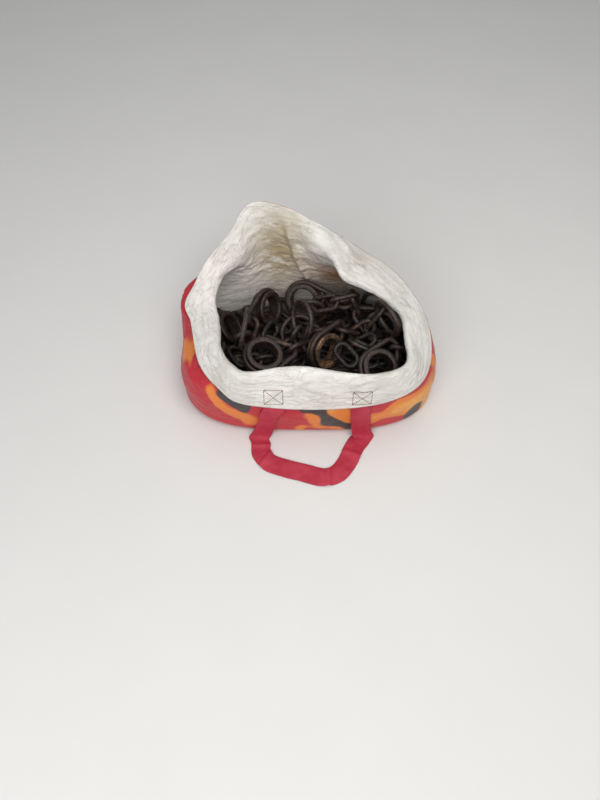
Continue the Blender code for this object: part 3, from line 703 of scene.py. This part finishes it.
def cloth_map(bag, rows):
    """The woven cloth's own measure over the skin, in metres along its rows and up them."""
    columns = len(rows[0])
    lengths = np.cumsum([0] + [np.linalg.norm(a - b, axis=1).mean() for a, b in zip(rows, rows[1:])])
    girth = 2 * (2 * BAG_HALF_WIDTH + 2 * BAG_HALF_DEPTH) * GIRTH_SHARE
    layer = bag.data.uv_layers.new(name="cloth")
    uv = np.zeros((len(bag.data.loops), 2))
    for face in bag.data.polygons:
        corners = [bag.data.loops[i].vertex_index for i in face.loop_indices]
        round_it = [i % columns for i in corners]
        seam = columns - 1 in round_it and 0 in round_it
        for index, corner in zip(face.loop_indices, corners):
            column = corner % columns
            if seam and column == 0:
                column = columns
            row = min(corner // columns, len(rows) - 1)
            uv[index] = (column / columns * girth, lengths[row])
    layer.data.foreach_set("uv", uv.ravel())


# Handles


def eased(points, steps):
    """A smooth open line through points, with steps between each two."""
    padded = [points[0]] + list(points) + [points[-1]]
    line = []
    for a, b, c, d in zip(padded, padded[1:], padded[2:], padded[3:]):
        line += [between(a, b, c, d, i / steps) for i in range(steps)]
    return line + [points[-1]]


def place_over(x, rear):
    """The place along the mouth whose hem lies at x, on the front or the rear side."""
    best, found = None, 0.0
    for i in range(len(MOUTH) * SEARCH_STEPS):
        azimuth, points = bag_profile(i / SEARCH_STEPS)
        point = bag_point(azimuth, *points[-1])
        if (point.y > BAG_CENTRE[1]) != rear:
            continue
        if best is None or abs(point.x - x) < best:
            best, found = abs(point.x - x), i / SEARCH_STEPS
    return found


def under_cuff(place, share, slack=0.0):
    """A point of the webbing on the cuff's underside, from 0 at the hem to 1 at the crest."""
    azimuth, points = bag_profile(place)
    top, hem = (bag_point(azimuth, *points[i]) for i in (-3, -1))
    around = Vector((-math.sin(azimuth), math.cos(azimuth), 0))
    lined = (hem - top).cross(around).normalized()
    return hem + (top - hem) * share - lined * (STRAP_THICKNESS / 2 + SEAT + slack)


def on_wall(place, inset, height):
    """A point of the webbing on the bag's outside."""
    return bag_point(mouth_at(place)[0], inset - STRAP_THICKNESS / 2 - SEAT, height)


def on_high_wall(place):
    return on_wall(place, *bag_profile(place)[1][WALL_LEVEL])


def leg(middle, rear, stations, drift=0.0):
    """Rows of webbing down a leg, from each one's share of the drift and what lays a point over a place."""
    rows = []
    for share, lay, *settings in stations:
        centre = middle + share * drift
        over = [place_over(centre + side * STRAP_WIDTH, rear) for side in STRAP_LINES]
        rows.append([lay(place, *settings) for place in over])
    return rows


def lying(line, normal):
    """Rows of webbing along a line that lies flat on a plane."""
    rows = []
    for before, point, after in zip(line, line[1:], line[2:]):
        side = (after - before).cross(normal).normalized() * STRAP_WIDTH
        rows.append([point - share * side for share in STRAP_LINES])
    return rows


def front_handle_rows():
    floor = STRAP_THICKNESS / 2 + CLEARANCE
    stations = [
        (0.0, under_cuff, 0.6),
        (0.0, under_cuff, 0.1),
        (0.05, under_cuff, -0.15),
        (0.35, on_wall, 0.0, BULGE_HEIGHT),
        (0.65, on_wall, -0.001, BULGE_HEIGHT / 2),
        (0.90, on_wall, -0.004, floor + 0.010),
        (1.0, on_wall, -0.010, floor + 0.001),
    ]
    legs = []
    for side, (across, _) in ((-0.5, FRONT_HANDLE[0]), (0.5, FRONT_HANDLE[-1])):
        drift = (across - side) * STRAP_SPACING
        legs.append(leg(STRAP_MIDDLE + side * STRAP_SPACING, False, stations, drift))
    start = legs[0][-1][0].y
    line = [Vector((STRAP_MIDDLE + across * STRAP_SPACING, start - out * HANDLE_REACH, floor))
            for across, out in FRONT_HANDLE]
    back = [row[::-1] for row in reversed(legs[1])]
    return legs[0] + lying(line, Vector((0, 0, 1))) + back


def rear_handle_rows():
    left = leg(STRAP_MIDDLE - STRAP_SPACING / 2, True, [
        (0, under_cuff, 0.35, 2 * SEAT),
        (0, under_cuff, 0.9),
        (0, on_high_wall),
    ])
    right = leg(STRAP_MIDDLE + STRAP_SPACING / 2, True, [
        (0, under_cuff, 0.55, REAR_SLACK),
        (0, under_cuff, 0.1, REAR_SLACK),
    ])
    lowest = bag_profile(place_over(STRAP_MIDDLE, True))[1][CREST_LEVEL][1] - REAR_DROP
    behind = BAG_CENTRE[1] + BAG_HALF_DEPTH + REAR_STANDOFF
    line = [Vector((STRAP_MIDDLE + across * STRAP_SPACING, behind, lowest + rise * REAR_DROP))
            for across, rise in REAR_HANDLE]
    back = [row[::-1] for row in reversed(right)]
    return left + lying(line, Vector((0, 1, 0))) + back


def strap(name, node, rows, finish, lift, pressed=()):
    """Webbing through rows of points: a flat band with rounded edges, rippled and creased where it lies."""
    lines = [eased(line, STRAP_STEPS) for line in zip(*rows)]
    rows = [eased(list(row), STRAP_LINE_STEPS) for row in zip(*lines)]
    count, wide = len(rows), len(rows[0])
    points, uv = [], []
    length = 0.0
    middle = wide // 2
    for i, row in enumerate(rows):
        ahead, behind = rows[min(i + 1, count - 1)], rows[max(i - 1, 0)]
        if i:
            length += (row[middle] - rows[i - 1][middle]).length
        ends = ramp(i, 0, RIPPLE_ROWS), ramp(count - 1 - i, 0, RIPPLE_ROWS)
        side = (row[-1] - row[0]).normalized()
        face = side.cross(ahead[middle] - behind[middle]).normalized()
        section = []
        for j, point in enumerate(row):
            share = 2 * j / (wide - 1) - 1
            thick = STRAP_THICKNESS / 2 * (1 - EDGE_THINNING * abs(share) ** 6)
            ripple = lift * max(0.0, crumple(point, RIPPLE_SCALE, 3)) * ends[0] * ends[1]
            if point.z < LYING_BELOW:
                flat = Vector((point.x, point.y, 0.0))
                for start, end, height in pressed:
                    ripple += height * ridge(flat, Vector((*start, 0)), Vector((*end, 0)), CREASE_WIDTH)
                up = Vector((0, 0, ripple))
            else:
                up = ripple * HANGING_RIPPLE * face
            section.append((point + face * thick + up, point - face * thick + up))
        ring = [top for top, _ in section] + [low for _, low in reversed(section)]
        points += ring
        around = [k / (wide - 1) * STRAP_WIDTH for k in range(wide)]
        uv += [(a, length) for a in around + around[::-1]]
    size = 2 * wide
    faces = grid_faces(count, size) + tube_ends(count, size)
    item = piece_from(name, points, faces, finish)
    layer = item.data.uv_layers.new(name="cloth")
    for loop in item.data.loops:
        layer.data[loop.index].uv = uv[loop.vertex_index]
    shape = bmesh.new()
    shape.from_mesh(item.data)
    bmesh.ops.recalc_face_normals(shape, faces=shape.faces)
    shape.to_mesh(item.data)
    shape.free()
    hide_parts(node)
    return item


# Stitching


def stitched_line(start, end, skin, aim):
    """Ends of each stitch along a straight line that is thrown onto the skin."""
    length = (end - start).length
    count = max(1, round(length / STITCH))
    stitches = []
    for i in range(count):
        ends = []
        for share in STITCH_ENDS:
            place = start + (end - start) * (i + share) / count
            hit, normal, _, _ = skin.ray_cast(place - aim * THROW_FROM, aim)
            if hit:
                ends.append(hit + normal * STITCH_LIFT)
        if len(ends) == 2:
            stitches.append(ends)
    return stitches


def stitch_mesh(stitches, finish):
    """Each stitch a short thread whose ends dip into the cloth."""
    points, faces = [], []
    for start, end in stitches:
        along = end - start
        side = along.orthogonal().normalized()
        other = along.normalized().cross(side)
        first = len(points)
        for share, wide in THREAD_RINGS:
            middle = start + along * share
            for k in range(THREAD_SIDES):
                turn = FULL_TURN * k / THREAD_SIDES
                round_it = math.cos(turn) * side + math.sin(turn) * other
                points.append(middle + round_it * THREAD / 2 * wide)
        faces += grid_faces(len(THREAD_RINGS), THREAD_SIDES, first)
        faces += tube_ends(len(THREAD_RINGS), THREAD_SIDES, first)
    return piece_from("cuff_stitching", points, faces, finish)


def skin_of(item):
    """A piece's mesh, to throw points onto."""
    return BVHTree.FromPolygons([v.co for v in item.data.vertices], [p.vertices for p in item.data.polygons])


def cuff_stitching(bag, finish):
    """A crossed box of red thread over each end of the front handle."""
    skin = skin_of(bag)
    aim = Vector(THROW).normalized()
    stitches = []
    for side in (-0.5, 0.5):
        x = STRAP_MIDDLE + side * STRAP_SPACING
        ends = ((-1, BOX_LOW), (1, BOX_LOW), (1, BOX_HIGH), (-1, BOX_HIGH))
        a, b, c, d = (Vector((x + across * BOX_HALF_WIDTH, BOX_FRONT, z)) for across, z in ends)
        for start, end in ((a, b), (b, c), (c, d), (d, a), (a, c), (b, d)):
            stitches += stitched_line(start, end, skin, aim)
    piece = stitch_mesh(stitches, finish)
    return piece


# Iron


def arc(centre, radius, start, end, steps):
    angles = np.linspace(start, end, steps, endpoint=False)
    return np.stack([centre + radius * np.cos(angles), radius * np.sin(angles)], axis=1)


def link_line():
    radius = (LINK_WIDTH - LINK_ROD) / 2
    straight = (LINK_LENGTH - LINK_WIDTH) / 2
    quarter = math.pi / 2
    right = arc(straight, radius, -quarter, quarter, 40)
    left = arc(-straight, radius, quarter, 3 * quarter, 40)
    return np.concatenate([right, [[straight, radius]], left, [[-straight, -radius]]])


def loop_line():
    big = GROOVE_RADIUS + CLEARANCE + LOOP_ROD / 2
    small = (LOOP_NOSE_WIDTH - LOOP_ROD) / 2
    nose = LOOP_REACH - LOOP_ROD / 2 - small
    lean = math.acos((big - small) / nose)
    rise, run = math.sin(lean), math.cos(lean)
    back = arc(0.0, big, lean, FULL_TURN - lean, 90)
    front = arc(nose, small, -lean, lean, 40)
    return np.concatenate([back, [[big * run, -big * rise]], front, [[nose + small * run, small * rise]]])


# Each kind's centre line and rod
LINES = {
    "link": (link_line(), LINK_ROD),
    "ring": (arc(0.0, (RING_OUTER - RING_ROD) / 2, 0.0, FULL_TURN, 120), RING_ROD),
    "loop": (loop_line(), LOOP_ROD),
}


def bar_points(kind, steps):
    """Even points along a kind's centre line."""
    line, _ = LINES[kind]
    closed = np.concatenate([line, line[:1]])
    return spaced(closed, steps + 1)[0][:-1]


def bar_mesh(kind, steps, sides, seed):
    """A forged bar bent into a closed form: its thickness wanders, and it has dents and pits."""
    rod = LINES[kind][1] / 2
    line = bar_points(kind, steps)
    ahead = np.roll(line, -1, axis=0) - np.roll(line, 1, axis=0)
    ahead /= np.linalg.norm(ahead, axis=1, keepdims=True)
    outward = np.stack([ahead[:, 1], -ahead[:, 0]], axis=1)
    points = []
    for i in range(steps):
        middle = Vector((*line[i], 0.0))
        wander = 0.5 + 0.5 * noise.noise((middle + Vector((seed, 0, 0))) * BAR_WANDER[1])
        for k in range(sides):
            turn = FULL_TURN * k / sides
            normal = Vector((*(outward[i] * math.cos(turn)), math.sin(turn)))
            place = middle + normal * rod
            dent = 0.5 + 0.5 * crumple(place + Vector((0, seed, seed * 0.37)), BAR_DENT[1], 3)
            pit = creases(place + Vector((seed, 0.3, 0)), BAR_PIT[1], 1)
            thick = 1 - BAR_WANDER[0] * wander - (BAR_DENT[0] * dent + BAR_PIT[0] * pit)
            points.append(middle + normal * rod * thick)
    return points, grid_faces(steps, sides, closed_rows=True)


def bush_profile():
    """The spool's outline with rounded corners, as distances from its axis and heights."""
    flange, bore, groove = BUSH_FLANGE / 2, BUSH_BORE / 2, GROOVE_RADIUS
    top = BUSH_HEIGHT / 2
    lip = top - FLANGE_THICKNESS
    # Distance, height and rounding
    corners = [(bore, 0.0, 0.0), (bore, top, 0.0028), (flange, top, 0.0029), (flange, lip, 0.0026),
               (groove, lip, 0.0012), (groove, 0.0, 0.0)]
    half = []
    for i, (x, z, size) in enumerate(corners):
        if not size:
            half.append((x, z))
            continue
        here = np.array([x, z])
        before, after = np.array(corners[i - 1][:2]), np.array(corners[i + 1][:2])
        a = here + (before - here) / np.linalg.norm(before - here) * size
        b = here + (after - here) / np.linalg.norm(after - here) * size
        for t in (0.0, 0.33, 0.67, 1.0):
            half.append(tuple((1 - t) ** 2 * a + 2 * t * (1 - t) * here + t * t * b))
    lower = [(x, -z) for x, z in reversed(half[1:-1])]
    return np.array(half + lower)


def bush_mesh(steps, step, seed):
    """A forged bush, its outline cut into steps of about the given length or, for 0, left as it is."""
    outline = bush_profile()
    closed = np.concatenate([outline, outline[:1]])
    if step:
        fine = []
        for a, b in zip(closed, closed[1:]):
            pieces = max(1, round(np.linalg.norm(b - a) / step))
            fine += [a + (b - a) * i / pieces for i in range(pieces)]
        outline = np.array(fine)
    inward = np.array([(BUSH_BORE / 2 + GROOVE_RADIUS) / 2, 0.0])
    points = []
    for i in range(steps):
        turn = FULL_TURN * i / steps
        for x, z in outline:
            place = Vector((x * math.cos(turn), x * math.sin(turn), z))
            dent = 0.5 + 0.5 * crumple(place + Vector((seed, seed * 0.3, 0)), BUSH_DENT[1], 3)
            pit = creases(place + Vector((0, seed, 0.3)), BUSH_PIT[1], 1)
            depth = BUSH_DENT[0] * dent + BUSH_PIT[0] * pit
            pull = inward - np.array([x, z])
            pull = pull / np.linalg.norm(pull) * depth
            reach = x + pull[0]
            points.append(Vector((reach * math.cos(turn), reach * math.sin(turn), z + pull[1])))
    return points, grid_faces(steps, len(outline), closed_rows=True, flip=True)


def node_place(node, kind):
    """Where a kind's own frame lies, from the mesh of its solid: its middle, its long axis and its normal."""
    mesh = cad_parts[node].data
    points = np.unique(np.array([tuple(v.co) for v in mesh.vertices]).round(7), axis=0)
    middle = points.mean(axis=0)
    _, axes = np.linalg.eigh(np.cov((points - middle).T))
    square, along = Vector(axes[:, 0]), Vector(axes[:, 2])
    if kind == "loop":
        spread = (points - middle) @ np.array(along)
        if spread.max() < -spread.min():
            along, spread = -along, -spread
        middle = middle + np.array(along) * (spread.max() - LOOP_REACH)
    across = square.cross(along).normalized()
    matrix = Matrix((along, across, along.cross(across))).transposed().to_4x4()
    matrix.translation = Vector(middle)
    return matrix


def iron_piece(node, kind, seed, finish):
    """The forged piece that stands for one solid."""
    matrix = node_place(node, kind)
    if kind == "bush":
        points, faces = bush_mesh(STEPS[kind], BUSH_STEP, seed)
    else:
        points, faces = bar_mesh(kind, STEPS[kind], BAR_SIDES, seed)
    item = piece_from(node + "_forged", [matrix @ p for p in points], faces, finish)
    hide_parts(node)
    return item


# Buried chain


class Room:
    """Distances to the iron that is laid so far, on a grid of cells."""

    def __init__(self, low, high):
        self.low = np.array(low)
        self.field = np.full(np.ceil((np.array(high) - low) / CELL).astype(int), FAR)
        reach = int(FAR / CELL) + 3
        steps = np.arange(-reach, reach + 1)
        self.block = np.stack(np.meshgrid(steps, steps, steps, indexing="ij"), axis=-1).reshape(-1, 3)

    def take(self, points, radius):
        shape = np.array(self.field.shape)
        for point in points:
            cell = np.floor((point - self.low) / CELL).astype(int)
            cells = cell + self.block
            inside = np.all((cells >= 0) & (cells < shape), axis=1)
            cells = cells[inside]
            gaps = np.linalg.norm(self.low + (cells + 0.5) * CELL - point, axis=1) - radius
            index = tuple(cells.T)
            self.field[index] = np.minimum(self.field[index], gaps)

    def gap(self, points, radius):
        cells = np.floor((points - self.low) / CELL).astype(int)
        if np.any(cells < 0) or np.any(cells >= np.array(self.field.shape)):
            return -FAR
        return self.field[tuple(cells.T)].min() - radius


def samples(kind):
    """Points along the bars of a kind, and the radius of iron round them."""
    if kind != "bush":
        line = bar_points(kind, BAR_SAMPLES)
        return np.concatenate([line, np.zeros((len(line), 1))], axis=1), LINES[kind][1] / 2
    turns = np.linspace(0, FULL_TURN, BUSH_SAMPLES, endpoint=False)
    ring = np.stack([np.cos(turns), np.sin(turns), np.zeros(BUSH_SAMPLES)], axis=1)
    rings = []
    for radius in (BUSH_BORE / 2 + SAMPLE_RADIUS, BUSH_FLANGE / 2 - SAMPLE_RADIUS):
        for height in (-1, 0, 1):
            rings.append(ring * radius + [0, 0, height * (BUSH_HEIGHT / 2 - SAMPLE_RADIUS)])
    return np.concatenate(rings), SAMPLE_RADIUS


def within_bag(points):
    x = (points[:, 0] - BAG_CENTRE[0]) / (BAG_HALF_WIDTH - WALL_GAP)
    y = (points[:, 1] - BAG_CENTRE[1]) / (BAG_HALF_DEPTH - WALL_GAP)
    return (np.abs(x) ** BAG_CORNER + np.abs(y) ** BAG_CORNER).max() < 1


def taken_room():
    """The room with the iron of the solids in it."""
    room = Room(*ROOM)
    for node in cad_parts:
        if node.startswith("chain"):
            kind = node.split("_")[2]
            points, radius = samples(kind)
            turn = np.array(node_place(node, kind))
            room.take(points @ turn[:3, :3].T + turn[:3, 3], radius)
    return room


def dropped(room, turned, radius, x, y):
    """The lowest place over a point of the base where a turned piece finds room, if there is one."""
    for step in range(BURIED_RISES):
        place = np.array([x, y, BURIED_LOW + BURIED_RISE * step])
        tried = turned + place
        if room.gap(tried, radius) > -BURIED_SINK and within_bag(tried):
            return place
    return None


def buried_pieces(finish, bag):
    """Links, rings and bushes laid in the gaps between and under the chains."""
    rng = random.Random(BURIED_DRAW)
    room = taken_room()
    skin = skin_of(bag)
    points, faces = [], []
    for number, kind in enumerate(BURIED):
        own, radius = samples(kind)
        for _ in range(BURIED_TRIES):
            x, y = rng.uniform(*BURIED_X), rng.uniform(*BURIED_Y)
            heading, tilt = rng.uniform(0, FULL_TURN), abs(rng.gauss(0, BURIED_TILT))
            spin = rng.uniform(0, FULL_TURN)
            turn = (Matrix.Rotation(heading, 3, "Z") @ Matrix.Rotation(tilt, 3, "X")
                    @ Matrix.Rotation(spin, 3, "Z"))
            turned = own @ np.array(turn).T
            laid = dropped(room, turned, radius, x, y)
            if laid is None or laid[2] > (HIGHEST_REAR if y > BURIED_LINE else HIGHEST_FRONT):
                continue
            if any(skin.find_nearest(Vector(p), radius + SKIN_GAP)[0] for p in (turned + laid)[::3]):
                continue
            room.take(turned + laid, radius)
            matrix = turn.to_4x4()
            matrix.translation = Vector(laid)
            seed = BURIED_SEED + number
            if kind == "bush":
                own_points, own_faces = bush_mesh(BURIED_STEPS[kind], 0.0, seed)
            else:
                own_points, own_faces = bar_mesh(kind, BURIED_STEPS[kind], BURIED_SIDES, seed)
            start = len(points)
            points += [matrix @ p for p in own_points]
            faces += [tuple(start + i for i in face) for face in own_faces]
            break
    item = piece_from("buried_chain", points, faces, finish)
    return item


# Stage


def light(name, place, aim, size, power, colour):
    data = bpy.data.lights.new(name, "AREA")
    data.size = size
    data.energy = power
    data.color = colour
    item = placed(name, data)
    item.location = place
    item.rotation_euler = (Vector(aim) - Vector(place)).to_track_quat("-Z", "Y").to_euler()


def stage():
    mesh = bpy.data.meshes.new("floor")
    corners = [(x * FLOOR_SIZE, y * FLOOR_SIZE, FLOOR_DROP) for x, y in ((-1, -1), (1, -1), (1, 1), (-1, 1))]
    mesh.from_pydata(corners, [], [(0, 1, 2, 3)])
    mesh.materials.append(plain_look("floor", 0.75, 6, (0.70, 0.69, 0.67), (0.74, 0.73, 0.71)))
    floor = placed("floor", mesh)

    for settings in LIGHTS:
        light(*settings)
    bpy.context.scene.view_settings.view_transform = "Standard"
    world = bpy.data.worlds.new("studio")
    world.use_nodes = True
    background = world.node_tree.nodes["Background"]
    background.inputs["Color"].default_value = WORLD
    background.inputs["Strength"].default_value = WORLD_STRENGTH
    bpy.context.scene.world = world

    data = bpy.data.cameras.new("camera")
    data.sensor_fit = "VERTICAL"
    data.sensor_height = SENSOR
    data.lens = SENSOR * FOCAL_PIXELS / PICTURE_HEIGHT
    camera = placed("camera", data)
    camera.location = CAMERA
    camera.rotation_euler = (math.radians(CAMERA_TILT), 0, 0)
    bpy.context.scene.camera = camera


def main():
    stage()
    lining, printed, webbing = lining_look(), print_look(), webbing_look()
    iron, rusty = iron_look("forged_iron", *FORGED), iron_look("rusty_iron", *RUSTY)
    # Painted shade: the buried chain gets a darker copy of the iron
    buried = iron_look("shaded_buried_iron", *UNLIT)

    bag = bag_piece([printed, lining])
    strap("front_webbing", "front_handle", front_handle_rows(), webbing, 0.0030, CREASES)
    strap("rear_webbing", "rear_handle", rear_handle_rows(), webbing, 0.0012)
    thread = plain_look("thread", 0.7, 400, (0.13, 0.030, 0.032), (0.24, 0.055, 0.055))
    cuff_stitching(bag, thread)

    seed = 0.0
    for node in sorted(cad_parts):
        if node.startswith("chain"):
            seed += SEED_STEP
            iron_piece(node, node.split("_")[2], seed, rusty if node == RUSTY_NODE else iron)
    buried_pieces(buried, bag)
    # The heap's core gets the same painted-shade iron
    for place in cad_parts["heap_core"].material_slots:
        place.material = buried


main()
